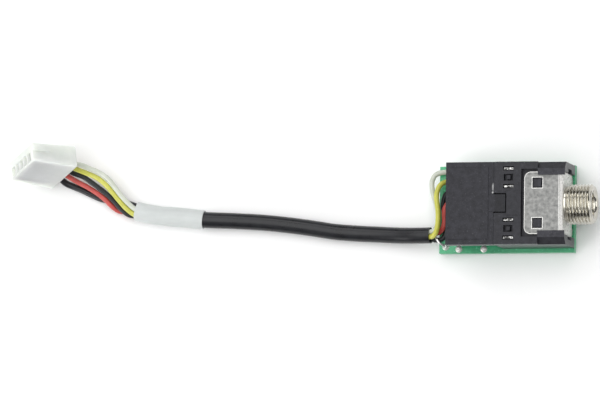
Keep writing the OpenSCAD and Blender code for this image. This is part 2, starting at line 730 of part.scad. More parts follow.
circuit_board();
solder_joints();
front_housing();
rear_housing();
front_plate();
threaded_bushing();
tip_terminal();
tip_spring();
ring_terminal();
ring_spring();
tip_break_contact();
ring_break_contact();
tip_make_contact();
ring_make_contact();
cable_jacket();
shrink_sleeve();
grey_lead();
yellow_lead();
black_lead();
red_lead();
drain_lead();
drain_tube();
plug_housing();
crimp_terminal(1);  // crimp_terminal_1
crimp_terminal(2);  // crimp_terminal_2
crimp_terminal(3);  // crimp_terminal_3
crimp_terminal(4);  // crimp_terminal_4
crimp_terminal(5);  // crimp_terminal_5
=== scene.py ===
import math

import bmesh
import bpy
from mathutils import Matrix, Vector


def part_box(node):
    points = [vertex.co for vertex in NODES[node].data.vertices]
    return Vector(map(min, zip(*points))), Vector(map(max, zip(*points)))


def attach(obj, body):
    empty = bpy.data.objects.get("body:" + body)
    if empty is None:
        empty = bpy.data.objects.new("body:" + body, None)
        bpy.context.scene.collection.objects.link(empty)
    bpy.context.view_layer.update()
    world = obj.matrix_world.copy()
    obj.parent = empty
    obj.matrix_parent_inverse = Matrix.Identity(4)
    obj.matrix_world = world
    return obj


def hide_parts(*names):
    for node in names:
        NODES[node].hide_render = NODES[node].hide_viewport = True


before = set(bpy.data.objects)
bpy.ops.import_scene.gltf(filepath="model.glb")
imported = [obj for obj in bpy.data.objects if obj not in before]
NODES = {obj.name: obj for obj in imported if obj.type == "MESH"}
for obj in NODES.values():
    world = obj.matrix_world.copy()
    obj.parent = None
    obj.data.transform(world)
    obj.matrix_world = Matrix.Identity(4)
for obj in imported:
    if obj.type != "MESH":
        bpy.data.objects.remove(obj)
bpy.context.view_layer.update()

MM = 0.001
scene = bpy.context.scene
scene.view_settings.view_transform = "Standard"
scene.view_settings.look = "None"


def corners(node):
    """The lowest and the highest corner of a node of the frame, in millimetres."""
    return [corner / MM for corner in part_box(node)]


# Sizes in millimetres, taken from the frame or repeated from the part's source

BOARD_LOW, BOARD_HIGH = corners("circuit_board")
PLATE_LOW, PLATE_HIGH = corners("front_plate")
BARREL_LOW, BARREL_HIGH = corners("threaded_bushing")
BLADE_LOW, BLADE_HIGH = corners("tip_break_contact")

BOARD_UNDER, BOARD_TOP = BOARD_LOW.z, BOARD_HIGH.z
PLATE_FRONT = PLATE_HIGH.x
PLATE_T = 0.4
JACK_Y = (PLATE_LOW.y + PLATE_HIGH.y) / 2
SPIGOT_END, NOSE_END = BARREL_LOW.x, BARREL_HIGH.x
CREST_R, ROOT_R = 3.0, 2.7
SPIGOT_R = 2.4
BORE_R = 1.8
AXIS_Z = 5.6
THREAD_PITCH = 0.5
BLADE_X = (BLADE_LOW.x + BLADE_HIGH.x) / 2
BLADE_YS = (2.5, 5.15)
ROOT_PIN_X, ROOT_PIN_Y = -8.155, 2.805
TAB_Y = 3.75
LEAD_R = 0.38
DRAIN_R = 0.18
DRAIN_TUBE_R, DRAIN_TUBE_WALL = 0.48, 0.25
JACKET_R, JACKET_WALL = 1.2, 0.17
SLEEVE_R, SLEEVE_WALL = 1.45, 0.2


# Camera, far away with a long lens, at the photo's angle

TARGET = Vector((-33.42, 1.66, 3.0)) * MM
RIGHT = Vector((0.9716, 0.0137, -0.2362)).normalized()
BACK = RIGHT.cross(Vector((0.011, 0.9946, 0.1028))).normalized()
UP = BACK.cross(RIGHT)
REACH = 2.4
VIEW_W = 0.0895
SENSOR_W = 36.0

cam_data = bpy.data.cameras.new("camera")
cam_data.sensor_width = SENSOR_W
cam_data.lens = SENSOR_W * REACH / VIEW_W
cam_data.clip_start = 0.05
cam_data.clip_end = 20.0
cam = bpy.data.objects.new("camera", cam_data)
scene.collection.objects.link(cam)
cam_turn = Matrix((RIGHT, UP, BACK)).transposed().to_4x4()
cam.matrix_world = Matrix.Translation(TARGET + BACK * REACH) @ cam_turn
scene.camera = cam


# Light: four soft areas, placed in metres, and a sky that is bright above and dim at the sides

def area_light(name, place, aim, size, power):
    data = bpy.data.lights.new(name, "AREA")
    data.shape = "RECTANGLE"
    data.size, data.size_y = size
    data.energy = power
    lamp = bpy.data.objects.new(name, data)
    scene.collection.objects.link(lamp)
    lamp.location = Vector(place)
    lamp.rotation_mode = "QUATERNION"
    lamp.rotation_quaternion = (Vector(aim) - Vector(place)).to_track_quat("-Z", "Y")


area_light("key", (-0.04, 0.06, 0.45), (-0.03, 0, 0), (0.5, 0.5), 1.35)
area_light("back", (-0.09, 0.36, 0.25), (0, 0, 0.005), (0.35, 0.16), 0.46)
area_light("fill", (-0.3, -0.2, 0.1), (-0.06, 0, 0.005), (0.2, 0.2), 0.62)
area_light("side", (0.4, -0.03, 0.11), (0, 0, 0.005), (0.2, 0.12), 0.2)


def node_of(tree, kind, **values):
    """A new shader node, with its inputs or its settings given by name."""
    node = tree.nodes.new(kind)
    for key, value in values.items():
        if key in node.inputs:
            node.inputs[key].default_value = value
        else:
            setattr(node, key, value)
    return node


def grey(level):
    return (level, level, level)


def ramp_of(tree, source, steps):
    """A colour ramp over a source; steps is a list of places and colours, in order."""
    ramp = node_of(tree, "ShaderNodeValToRGB")
    elements = ramp.color_ramp.elements
    for i in (0, -1):
        place, colour = steps[i]
        elements[i].position = place
        elements[i].color = (*colour, 1)
    for place, colour in steps[1:-1]:
        elements.new(place).color = (*colour, 1)
    tree.links.new(source, ramp.inputs["Fac"])
    return ramp


SKY_STRENGTH = 0.78
SKY = [(0.0, grey(0.14)), (0.3, grey(0.12)), (0.55, grey(0.3)), (0.85, grey(1.0))]

world = bpy.data.worlds.new("studio")
scene.world = world
world.use_nodes = True
sky = world.node_tree
sky.nodes.clear()
sky_out = node_of(sky, "ShaderNodeOutputWorld")
sky_light = node_of(sky, "ShaderNodeBackground", Strength=SKY_STRENGTH)
sky_coord = node_of(sky, "ShaderNodeTexCoord")
sky_split = node_of(sky, "ShaderNodeSeparateXYZ")
sky.links.new(sky_coord.outputs["Generated"], sky_split.inputs[0])
sky_ramp = ramp_of(sky, sky_split.outputs["Z"], SKY)
sky.links.new(sky_ramp.outputs["Color"], sky_light.inputs["Color"])
sky.links.new(sky_light.outputs[0], sky_out.inputs[0])


# Steps that the materials are made of

CLOUD_DETAIL, CLOUD_ROUGHNESS = 5.0, 0.6
SPECK_DETAIL, PALE_SPOT_DETAIL, GRAIN_DETAIL = 2.0, 3.0, 4.0
BUMP_DEPTH = 0.04
PALE_SPOT_NOISE_SIZE = 0.25
PALE_SPOT_COLOUR = (*grey(0.8), 1)
PALE_SPOT_CORE = 0.4
SUBSURFACE_RADIUS = (1.0, 1.0, 0.9)
COAT_ROUGHNESS = 0.25
SLOPE_FROM, TOP_FROM = 0.5, 0.9


def blend(tree, factor, first, second):
    """The colour between two others; each colour is an output or four numbers."""
    mix = node_of(tree, "ShaderNodeMix", data_type="RGBA")
    sockets = {i.name: i for i in mix.inputs if i.type == "RGBA"}
    sockets["Factor"] = next(i for i in mix.inputs if i.name == "Factor" and i.type == "VALUE")
    for key, value in (("Factor", factor), ("A", first), ("B", second)):
        if isinstance(value, tuple):
            sockets[key].default_value = value
        else:
            tree.links.new(value, sockets[key])
    return next(o for o in mix.outputs if o.type == "RGBA")


def noise_of(tree, space, size, detail, **values):
    """A noise whose spots are about size mm across."""
    noise = node_of(tree, "ShaderNodeTexNoise", Scale=1.0 / (size * MM), Detail=detail, **values)
    tree.links.new(space, noise.inputs["Vector"])
    return noise.outputs["Fac"]


def speckled(tree, space, colour, fine):
    """The colour with sparse specks of another over it."""
    specks = noise_of(tree, space, fine["size"], SPECK_DETAIL)
    cut = ramp_of(tree, specks, [(fine["from"], grey(0)), (fine["to"], grey(1))])
    return blend(tree, cut.outputs["Color"], colour, (*fine["colour"], 1))


def pale_spotted(tree, space, colour, centre, half):
    """The colour with a pale spot at a centre, with its half sizes in mm, broken up by noise."""
    away = node_of(tree, "ShaderNodeVectorMath", operation="SUBTRACT")
    away.inputs[1].default_value = [c * MM for c in centre]
    tree.links.new(space, away.inputs[0])
    share = node_of(tree, "ShaderNodeVectorMath", operation="DIVIDE")
    share.inputs[1].default_value = [h * MM for h in half]
    tree.links.new(away.outputs["Vector"], share.inputs[0])
    far = node_of(tree, "ShaderNodeVectorMath", operation="LENGTH")
    tree.links.new(share.outputs["Vector"], far.inputs[0])
    near = node_of(tree, "ShaderNodeMapRange", **{"From Min": 1.0, "From Max": PALE_SPOT_CORE})
    tree.links.new(far.outputs["Value"], near.inputs["Value"])
    spot_mask = node_of(tree, "ShaderNodeMath", operation="MULTIPLY")
    tree.links.new(near.outputs["Result"], spot_mask.inputs[0])
    tree.links.new(noise_of(tree, space, PALE_SPOT_NOISE_SIZE, PALE_SPOT_DETAIL), spot_mask.inputs[1])
    return blend(tree, spot_mask.outputs["Value"], colour, PALE_SPOT_COLOUR)


def flatness(tree, coord):
    """How level a face lies: 0 on a wall, 1 on a flat top."""
    facing = node_of(tree, "ShaderNodeSeparateXYZ")
    tree.links.new(coord.outputs["Normal"], facing.inputs[0])
    level = node_of(tree, "ShaderNodeMath", operation="ABSOLUTE")
    tree.links.new(facing.outputs["Z"], level.inputs[0])
    return level.outputs["Value"]


def painted_light_by_facing(tree, coord, colour, start, painted_light_tones):
    """Painted light and shade: the colour times a tone for walls, slopes and flat tops, where X in mm is
    beyond start.
    """
    place = node_of(tree, "ShaderNodeSeparateXYZ")
    tree.links.new(coord.outputs["Object"], place.inputs[0])
    beyond = node_of(tree, "ShaderNodeMath", operation="GREATER_THAN")
    beyond.inputs[1].default_value = start * MM
    tree.links.new(place.outputs["X"], beyond.inputs[0])
    # A ramp holds no value over 1, so it holds half of each tone
    wall, slope, top = [grey(tone / 2) for tone in painted_light_tones]
    tone = ramp_of(tree, flatness(tree, coord), [(0.0, wall), (SLOPE_FROM, slope), (TOP_FROM, top)])
    tone.color_ramp.interpolation = "CONSTANT"
    halved = node_of(tree, "ShaderNodeVectorMath", operation="MULTIPLY")
    tree.links.new(colour, halved.inputs[0])
    tree.links.new(tone.outputs["Color"], halved.inputs[1])
    whole = node_of(tree, "ShaderNodeVectorMath", operation="SCALE", Scale=2.0)
    tree.links.new(halved.outputs["Vector"], whole.inputs[0])
    return blend(tree, beyond.outputs["Value"], colour, whole.outputs["Vector"])


def on_walls(tree, coord, walls, tops):
    """The roughness walls on upright faces, and tops on the others."""
    flat = node_of(tree, "ShaderNodeMath", operation="GREATER_THAN")
    flat.inputs[1].default_value = SLOPE_FROM
    tree.links.new(flatness(tree, coord), flat.inputs[0])
    choice = node_of(tree, "ShaderNodeMix", data_type="FLOAT")
    choice.inputs["A"].default_value = walls
    tree.links.new(flat.outputs["Value"], choice.inputs["Factor"])
    tree.links.new(tops, choice.inputs["B"])
    return choice.outputs["Result"]


def material(name, colours, scale, rough, bump, metallic=0.0, specular=0.5, fine=None, subsurface=None,
             coat=0.0, stretch=(1, 1, 1), steps=(0.32, 0.68), walls=None, pale_spots=(), painted_light_tones=None):
    """A material whose colour and roughness vary between two limits, with small bumps.

    scale is the size of the variation in mm, and bump a pair: bump size in mm and strength.
    subsurface is a weight and a depth in mm, and walls the roughness of upright faces.
    pale_spots are pale spots, each a centre and half sizes in mm, broken up by noise. painted_light_tones
    is an X in mm, and the painted light and shade beyond it: how much paler or darker walls, slopes and flat
    tops are."""
    mat = bpy.data.materials.new(name)
    mat.use_nodes = True
    tree = mat.node_tree
    shader = tree.nodes["Principled BSDF"]
    shader.inputs["Metallic"].default_value = metallic
    shader.inputs["Specular IOR Level"].default_value = specular
    if subsurface:
        shader.inputs["Subsurface Weight"].default_value = subsurface[0]
        shader.inputs["Subsurface Radius"].default_value = SUBSURFACE_RADIUS
        shader.inputs["Subsurface Scale"].default_value = subsurface[1] * MM
    if coat:
        shader.inputs["Coat Weight"].default_value = coat
        shader.inputs["Coat Roughness"].default_value = COAT_ROUGHNESS
    coord = node_of(tree, "ShaderNodeTexCoord")
    space = coord.outputs["Object"]
    mapping = node_of(tree, "ShaderNodeMapping", Scale=stretch)
    tree.links.new(space, mapping.inputs["Vector"])
    drawn = mapping.outputs["Vector"]

    cloud = noise_of(tree, drawn, scale, CLOUD_DETAIL, Roughness=CLOUD_ROUGHNESS)
    colour = ramp_of(tree, cloud, list(zip(steps, colours))).outputs["Color"]
    if fine:
        colour = speckled(tree, drawn, colour, fine)
    for centre, half in pale_spots:
        colour = pale_spotted(tree, space, colour, centre, half)
    # Painted light and shade, set by which way each face looks
    if painted_light_tones:
        colour = painted_light_by_facing(tree, coord, colour, *painted_light_tones)
    tree.links.new(colour, shader.inputs["Base Color"])

    spread = node_of(tree, "ShaderNodeMapRange", **{"To Min": rough[0], "To Max": rough[1]})
    tree.links.new(cloud, spread.inputs["Value"])
    roughness = spread.outputs["Result"]
    if walls is not None:
        roughness = on_walls(tree, coord, walls, roughness)
    tree.links.new(roughness, shader.inputs["Roughness"])

    raised = node_of(tree, "ShaderNodeBump", Strength=bump[1], Distance=BUMP_DEPTH * MM)
    tree.links.new(noise_of(tree, drawn, bump[0], GRAIN_DETAIL), raised.inputs["Height"])
    tree.links.new(raised.outputs["Normal"], shader.inputs["Normal"])
    return mat


# Materials

# Where the mouldings' painted light and shade begin, as X in mm
RAIL_START, TONGUE_START = 4.275, -2.25
PALE_SPECKS = (0.085, 0.085, 0.095)

PLASTIC = material("moulded_black", ((0.012, 0.012, 0.016), (0.031, 0.031, 0.038)), 0.7, (0.4, 0.64),
                   # Painted light and shade: beyond RAIL_START the rails' flat tops are painted paler and
                   # their slopes darker
                   (0.14, 0.35), specular=0.28, walls=0.3, painted_light_tones=(RAIL_START, (1.0, 0.85, 1.44)),
                   fine={"size": 0.16, "from": 0.66, "to": 0.76, "colour": PALE_SPECKS})
PLASTIC_REAR = material("moulded_black_rear", ((0.011, 0.011, 0.015), (0.031, 0.031, 0.039)), 0.8,
                        (0.44, 0.64), (0.16, 0.4), specular=0.28, walls=0.3,
                        # Painted shade: beyond TONGUE_START the flat tops of the recessed tongue are painted
                        # darker
                        painted_light_tones=(TONGUE_START, (1.0, 1.0, 0.62)),
                        # Two pale spots at the seam, broken up by noise
                        pale_spots=[((-2.5, 2.65, 9.0), (0.22, 0.7, 0.5)), ((-2.55, 1.85, 9.0), (0.2, 0.2, 0.5))],
                        fine={"size": 0.2, "from": 0.64, "to": 0.76, "colour": PALE_SPECKS})
NICKEL = material("nickel_sheet", ((0.115, 0.117, 0.114), (0.25, 0.25, 0.243)), 0.55, (0.34, 0.5),
                  (0.12, 0.25), metallic=1.0)
# Painted highlight: a pale, less metallic copy of the nickel for the plate's rounded edges, its faces towards
# +X and a thin margin round its flat tops
NICKEL_PAINTED_HIGHLIGHT = material("nickel_painted_highlight", ((0.7, 0.695, 0.67), (0.82, 0.81, 0.785)), 0.5, (0.22, 0.34),
                      (0.12, 0.15), metallic=0.25)
TURNED = material("nickel_turned", ((0.48, 0.46, 0.4), (0.62, 0.6, 0.54)), 0.8, (0.12, 0.22),
                  (0.1, 0.06), metallic=1.0)
GREEN = material("board_green", ((0.022, 0.28, 0.12), (0.05, 0.42, 0.19)), 1.6, (0.3, 0.45),
                 (0.3, 0.25), coat=0.2,
                 fine={"size": 0.35, "from": 0.62, "to": 0.68, "colour": (0.08, 0.48, 0.25)})
SOLDER = material("solder", ((0.58, 0.58, 0.56), (0.8, 0.8, 0.77)), 0.4, (0.4, 0.56),
                  (0.15, 0.4), metallic=0.55)
# Painted highlight and shade: contact metal mottled between near black and bright, as irregular glints with
# dark patches between them
BLADE = material("contact_painted_glints", ((0.05, 0.05, 0.05), (0.7, 0.7, 0.68)), 0.3, (0.3, 0.5),
                 (0.1, 0.4), metallic=1.0, steps=(0.44, 0.6))
TINNED = material("tinned_contact", ((0.62, 0.62, 0.6), (0.86, 0.86, 0.83)), 0.4, (0.2, 0.36),
                  (0.1, 0.2), metallic=1.0)
BRASS = material("spring_brass", ((0.55, 0.4, 0.16), (0.74, 0.57, 0.28)), 0.5, (0.22, 0.36),
                 (0.1, 0.15), metallic=1.0)
JACKET = material("jacket_black", ((0.006, 0.006, 0.008), (0.013, 0.014, 0.017)), 1.5, (0.22, 0.36),
                  (0.2, 0.15), specular=0.35)
SLEEVE = material("sleeve_white", ((0.53, 0.56, 0.55), (0.62, 0.65, 0.64)), 2.0, (0.4, 0.55),
                  (0.4, 0.25), subsurface=(0.15, 1.2), stretch=(0.35, 1, 1))
GREY_WIRE = material("wire_grey", ((0.51, 0.54, 0.46), (0.6, 0.63, 0.55)), 1.0, (0.34, 0.48),
                     (0.15, 0.12), subsurface=(0.08, 1.2))
YELLOW_WIRE = material("wire_yellow", ((0.47, 0.465, 0.06), (0.6, 0.595, 0.11)), 1.0, (0.34, 0.48),
                       (0.15, 0.12), subsurface=(0.05, 1.2))
BLACK_WIRE = material("wire_black", ((0.007, 0.009, 0.01), (0.015, 0.018, 0.02)), 1.0, (0.28, 0.42),
                      (0.15, 0.12), specular=0.3)
RED_WIRE = material("wire_red", ((0.42, 0.045, 0.035), (0.54, 0.075, 0.06)), 1.0, (0.34, 0.48),
                    (0.15, 0.12), subsurface=(0.05, 1.2))
STRANDS = material("drain_strands", ((0.5, 0.5, 0.5), (0.8, 0.8, 0.79)), 0.25, (0.24, 0.4),
                   (0.08, 0.4), metallic=1.0)
NYLON = material("nylon_white", ((0.67, 0.715, 0.655), (0.74, 0.775, 0.72)), 2.4, (0.34, 0.5),
                 (0.5, 0.14), subsurface=(0.9, 3.0))
FLOOR = material("floor_white", ((0.94, 0.94, 0.94), (0.96, 0.96, 0.96)), 40.0, (0.7, 0.85), (2.0, 0.02))


# Building helpers

def finish_mesh(obj, mats, smooth):
    """Faces turned outwards and shaded smoothly, with edges over smooth degrees kept sharp."""
    mesh = obj.data
    bm = bmesh.new()
    bm.from_mesh(mesh)
    bmesh.ops.recalc_face_normals(bm, faces=bm.faces)
    bm.to_mesh(mesh)
    bm.free()
    for mat in mats:
        mesh.materials.append(mat)
    for p in mesh.polygons:
        p.use_smooth = True
    mesh.set_sharp_from_angle(angle=math.radians(smooth))


def mesh_piece(name, shape, mat, node, smooth=40):
    """A piece that rides on the jack in place of a node, from its points in mm and its faces."""
    points, faces = shape
    mesh = bpy.data.meshes.new(name)
    mesh.from_pydata([Vector(p) * MM for p in points], [], faces)
    obj = bpy.data.objects.new(name, mesh)
    scene.collection.objects.link(obj)
    finish_mesh(obj, [mat], smooth)
    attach(obj, "jack")
    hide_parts(node)
    return obj


WELD, LAST_WELD = 2e-6, 1e-7
FLAT_DEGREES = 0.6
SHARP_DEGREES = 28
SQUARE_RADIANS = 1.0
DRESSED_SMOOTH = 50
WIDE_STEPS = 5
# Width in mm of the painted highlight round the plate's flat tops
RIM_MARGIN = 0.07
TOWARDS_FRONT, FACING_UP = 0.3, 0.99


def rounded_edges(bm, edges, width, segments):
    return bmesh.ops.bevel(bm, geom=edges, offset=width * MM, offset_type="OFFSET", segments=segments,
                           profile=0.5, affect="EDGES", clamp_overlap=True)["faces"]


def paint_highlight_rim(bm, rounded):
    """The second material, a painted highlight, on rounded edges, on faces towards +X and on a margin of the
    flat tops.
    """
    bm.normal_update()
    for f in list(rounded) + [f for f in bm.faces if f.normal.x > TOWARDS_FRONT]:
        f.material_index = 1
    tops = [f for f in bm.faces if f.normal.z > FACING_UP]
    margin = bmesh.ops.inset_region(bm, faces=tops, thickness=RIM_MARGIN * MM, use_boundary=True,
                                    use_even_offset=True)
    for f in margin["faces"]:
        f.material_index = 1


def dress(node, name, mat, bevel, steps=2, body="jack", rim=None, outer=()):
    """The node's own form with its sharp edges rounded, in place of the node.

    rim is a second material for its edges, a painted highlight. outer is a list of wider roundings, each a
    width in mm and a test of which edges have it."""
    source = NODES[node]
    bm = bmesh.new()
    bm.from_mesh(source.data)
    bm.transform(source.matrix_world)
    bmesh.ops.remove_doubles(bm, verts=bm.verts, dist=WELD)
    bmesh.ops.dissolve_limit(bm, angle_limit=math.radians(FLAT_DEGREES), verts=bm.verts, edges=bm.edges)
    for width, chosen in outer:
        square = [e for e in bm.edges if e.is_convex and e.calc_face_angle() > SQUARE_RADIANS and chosen(e)]
        rounded_edges(bm, square, width, WIDE_STEPS)
    sharp = math.radians(SHARP_DEGREES)
    edges = [e for e in bm.edges if e.is_manifold and e.calc_face_angle() > sharp]
    rounded = rounded_edges(bm, edges, bevel, steps)
    if rim:
        paint_highlight_rim(bm, rounded)
    bmesh.ops.remove_doubles(bm, verts=bm.verts, dist=LAST_WELD)
    bmesh.ops.triangulate(bm, faces=[f for f in bm.faces if len(f.verts) > 4])
    mesh = bpy.data.meshes.new(name)
    bm.to_mesh(mesh)
    bm.free()
    obj = bpy.data.objects.new(name, mesh)
    scene.collection.objects.link(obj)
    finish_mesh(obj, [mat, rim] if rim else [mat], DRESSED_SMOOTH)
    weighted = obj.modifiers.new("normals", "WEIGHTED_NORMAL")
    weighted.keep_sharp = True
    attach(obj, body)
    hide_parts(node)
    return obj


def smooth_path(points, step):
    """A smooth curve through the points, as points about step apart."""
    p = [Vector(q) for q in points]
    p = [p[0] * 2 - p[1]] + p + [p[-1] * 2 - p[-2]]
    out = []
    for i in range(1, len(p) - 2):
        a, b, c, d = p[i - 1], p[i], p[i + 1], p[i + 2]
        ta, tb, tc = [max((y - x).length, 1e-6) ** 0.5 for x, y in ((a, b), (b, c), (c, d))]
        m1 = ((b - a) / ta - (c - a) / (ta + tb) + (c - b) / tb) * tb
        m2 = ((c - b) / tb - (d - b) / (tb + tc) + (d - c) / tc) * tb
        n = max(1, round((c - b).length / step))
        for k in range(n):
            t = k / n
            out.append(b * (2 * t ** 3 - 3 * t ** 2 + 1) + m1 * (t ** 3 - 2 * t ** 2 + t)
                       + c * (3 * t ** 2 - 2 * t ** 3) + m2 * (t ** 3 - t ** 2))
    out.append(p[-2])
    return out


def direction(path, i):
    return (path[min(i + 1, len(path) - 1)] - path[max(i - 1, 0)]).normalized()


def path_frames(path):
    """Two sideways directions at each point of a path, turned as little as possible."""
    frames = []
    side = Vector((0, 1, 0))
    for i in range(len(path)):
        t = direction(path, i)
        side = (side - t * side.dot(t)).normalized()
        frames.append((side, t.cross(side)))
    return frames


def tube(path, radius, sides, wall=0.0, shape=None):
    """Points and faces of a closed tube, hollow if it has a wall.

    radius is a number or a function of the distance along the path. shape gives a factor on the
    radius from that distance and the angle around it."""
    frames = path_frames(path)
    along = [0.0]
    for a, b in zip(path[:-1], path[1:]):
        along.append(along[-1] + (b - a).length)
    pts, faces = [], []
    n = len(path)

    def skin(less):
        for i in range(n):
            r = (radius(along[i]) if callable(radius) else radius) - less
            s, u = frames[i]
            for k in range(sides):
                a = 2 * math.pi * k / sides
                f = shape(along[i], a) if shape else 1.0
                pts.append(path[i] + (s * math.cos(a) + u * math.sin(a)) * r * f)

    def join(start, inward):
        for i in range(n - 1):
            for k in range(sides):
                a = start + i * sides + k
                b = start + i * sides + (k + 1) % sides
                if inward:
                    faces.append((a, a + sides, b + sides, b))
                else:
                    faces.append((a, b, b + sides, a + sides))

    skin(0.0)
    join(0, inward=False)
    last = (n - 1) * sides
    if wall:
        inside = len(pts)
        skin(wall)
        join(inside, inward=True)
        for k in range(sides):
            m = (k + 1) % sides
            faces.append((k, inside + k, inside + m, m))
            faces.append((last + k, last + m, inside + last + m, inside + last + k))
    else:
        for ring, middle in ((0, path[0]), (last, path[-1])):
            pts.append(middle)
            for k in range(sides):
                faces.append((ring + k, ring + (k + 1) % sides, len(pts) - 1))
    return pts, faces


def lathe(profile, sides, place, bump):
    """Points and faces of a turned solid: profile is a list of (radius, height), from axis to axis."""
    pts, faces, rows = [], [], []
    for r, h in profile:
        row = []
        for k in range(1 if r < 1e-6 else sides):
            a = 2 * math.pi * k / sides
            rr = r * bump(a)
            row.append(len(pts))
            pts.append(Vector((rr * math.cos(a), rr * math.sin(a), h)) + Vector(place))
        rows.append(row)
    for a, b in zip(rows[:-1], rows[1:]):
        for k in range(sides):
            m = (k + 1) % sides
            around = (a[k % len(a)], a[m % len(a)], b[m % len(b)], b[k % len(b)])
            face = tuple(dict.fromkeys(around))
            if len(face) > 2:
                faces.append(face)
    return pts, faces


# Routes of the cable, repeated from the part's source

JACKET_ROUTE = [(-55.3, -0.3, 1.45), (-52.1, -0.6, 1.45), (-48.5, -1, 1.45), (-44.1, -1.2, 1.3),
                (-39.4, -1.5, 1.2), (-35.7, -1.9, 1.2), (-32.1, -2.4, 1.2), (-28.3, -3, 1.2),
                (-24.7, -3.3, 1.2), (-21.5, -3.5, 1.4), (-18.5, -3.7, 1.8), (-15.9, -3.8, 2.3),
                (-13.4, -3.8, 2.6)]
SLEEVE_ROUTE = [(-58.9, 0.4, 1.45), (-57.1, 0, 1.45)] + JACKET_ROUTE[:3]
PLUG_ENDS = {
    "grey": [(-66.7, 7.1, 3.9), (-65.8, 6.7, 3.3), (-64.4, 6.1, 2.9), (-63.1, 5.2, 2.8),
             (-62.1, 4, 2.7), (-61.2, 2.8, 2.6), (-60.1, 1.6, 2.4)],
    "yellow": [(-67.5, 6.5, 3.2), (-66.2, 6, 2.6), (-64.9, 5.4, 2.4), (-63.7, 4.5, 2.4),
               (-62.6, 3.3, 2.3), (-61.5, 2, 2.2), (-60.3, 0.7, 2.1)],
    "black": [(-68.5, 6.1, 2.5), (-67.1, 5.6, 2), (-65.9, 4.8, 1.8), (-64.7, 3.9, 1.7),
              (-63.4, 2.9, 1.7), (-62.3, 1.8, 1.6), (-61.4, 0.8, 1.5), (-60.2, -0.1, 1.3)],
    "red": [(-69.3, 5.6, 1.8), (-68.1, 4.9, 1.4), (-66.4, 4, 1.3), (-64.7, 2.9, 1.4),
            (-63.7, 2.1, 1.5), (-62.7, 1.1, 1.1), (-61.7, 0.5, 0.7), (-60.3, 0.4, 0.6)],
    "drain": [(-70.1, 4.8, 0.9), (-69.2, 4.4, 0.6), (-67.5, 3.7, 0.5), (-65.8, 2.9, 0.5),
              (-64.6, 2.4, 0.5), (-63.1, 2.1, 0.5), (-61.8, 2, 0.6), (-60.4, 1.6, 1)],
}
BOARD_ENDS = {
    "grey": [(-12.9, -3.2, 3.1), (-12.5, -2.8, 3.1), (-12.3, -2.1, 3), (-12.3, -1.2, 2.9),
             (-12.4, -0.2, 2.9), (-12.6, 1, 3), (-12.9, 2, 3.2), (-13.1, 3.1, 3.4),
             (-13.1, 4.2, 3.4), (-12.7, 5.1, 3.2), (-11.9, 5.5, 2.9), (-11.1, 5.6, 2.6)],
    "yellow": [(-12.8, -4, 3.6), (-12.3, -3.5, 4), (-12, -2.7, 4.3), (-11.9, -1.6, 4.4),
               (-11.9, -0.4, 4.4), (-12.1, 0.9, 4.4), (-12.2, 2, 4.3), (-12, 3.1, 4),
               (-11.6, 3.8, 3.5), (-11.1, 4.1, 2.9)],
    "black": [(-12.8, -4.5, 2.3), (-12.1, -4.5, 2.4), (-11.5, -4.2, 2.4), (-11.2, -3.5, 2.4),
              (-11.1, -2.6, 2.4), (-11.2, -1.6, 2.4), (-11.4, -0.5, 2.4), (-11.6, 0.5, 2.5),
              (-11.5, 1.6, 2.5), (-11.1, 2.4, 2.5)],
    "red": [(-12.7, -3.5, 2.3), (-12.1, -3.4, 2.7), (-11.5, -2.9, 3.1), (-11.2, -2.1, 3.3),
            (-11.2, -1.1, 3.3), (-11.2, -0.1, 3.3), (-10.9, 0.7, 3)],
    "drain": [(-12.9, -3.9, 2.7), (-12.4, -4.4, 3.1), (-11.9, -5, 3)],
}
LEAD_PAD_X = BOARD_LOW.x + 1.7
PADS = {"grey": (LEAD_PAD_X, 5.5), "yellow": (LEAD_PAD_X, 4.1), "black": (LEAD_PAD_X, 2.7),
        "red": (LEAD_PAD_X, 1.3), "drain": (BOARD_LOW.x + 1, BOARD_LOW.y + 1)}
PAD_LIFT = 0.45
# How far in front of the plug's wire face each lead ends and turns, and the drain's tube ends
LEAD_END, LEAD_TURN, DRAIN_TUBE_END = -2, 0.6, 0.4
# Angle and distance from the cable's middle line, at the sleeve's mouth and in the jacket
ANGLES = {"grey": (76, 38), "yellow": (140, 120), "black": (201, 204), "red": (262, 286), "drain": (-10, -18)}
LEAD_RING, DRAIN_RING = (0.78, 0.58), (0.66, 0.0)
WAYS = {"grey": 1, "yellow": 2, "black": 3, "red": 4, "drain": 5}
MIDDLE_WAY = 3
PLUG_PITCH = 1.25
PLUG_AT = Vector((-69.5, 6.4, 3.45))
PLUG_TURN = (Matrix.Rotation(math.radians(-5), 3, "Z") @ Matrix.Rotation(math.radians(42), 3, "Y")
             @ Matrix.Rotation(math.radians(156.5), 3, "X"))


def in_way(x, way):
    """A point on the middle line of one of the plug's ways, x in front of its wire face."""
    return PLUG_AT + PLUG_TURN @ Vector((x, 0, (way - MIDDLE_WAY) * PLUG_PITCH))


def bundled(route, i, angle, r):
    """The point at a distance and angle from a route's point."""
    p = [Vector(q) for q in route]
    t = direction(p, i)
    s = Vector((0, 1, 0))
    s = (s - t * s.dot(t)).normalized()
    a = math.radians(angle)
    return p[i] + (s * math.cos(a) + t.cross(s) * math.sin(a)) * r


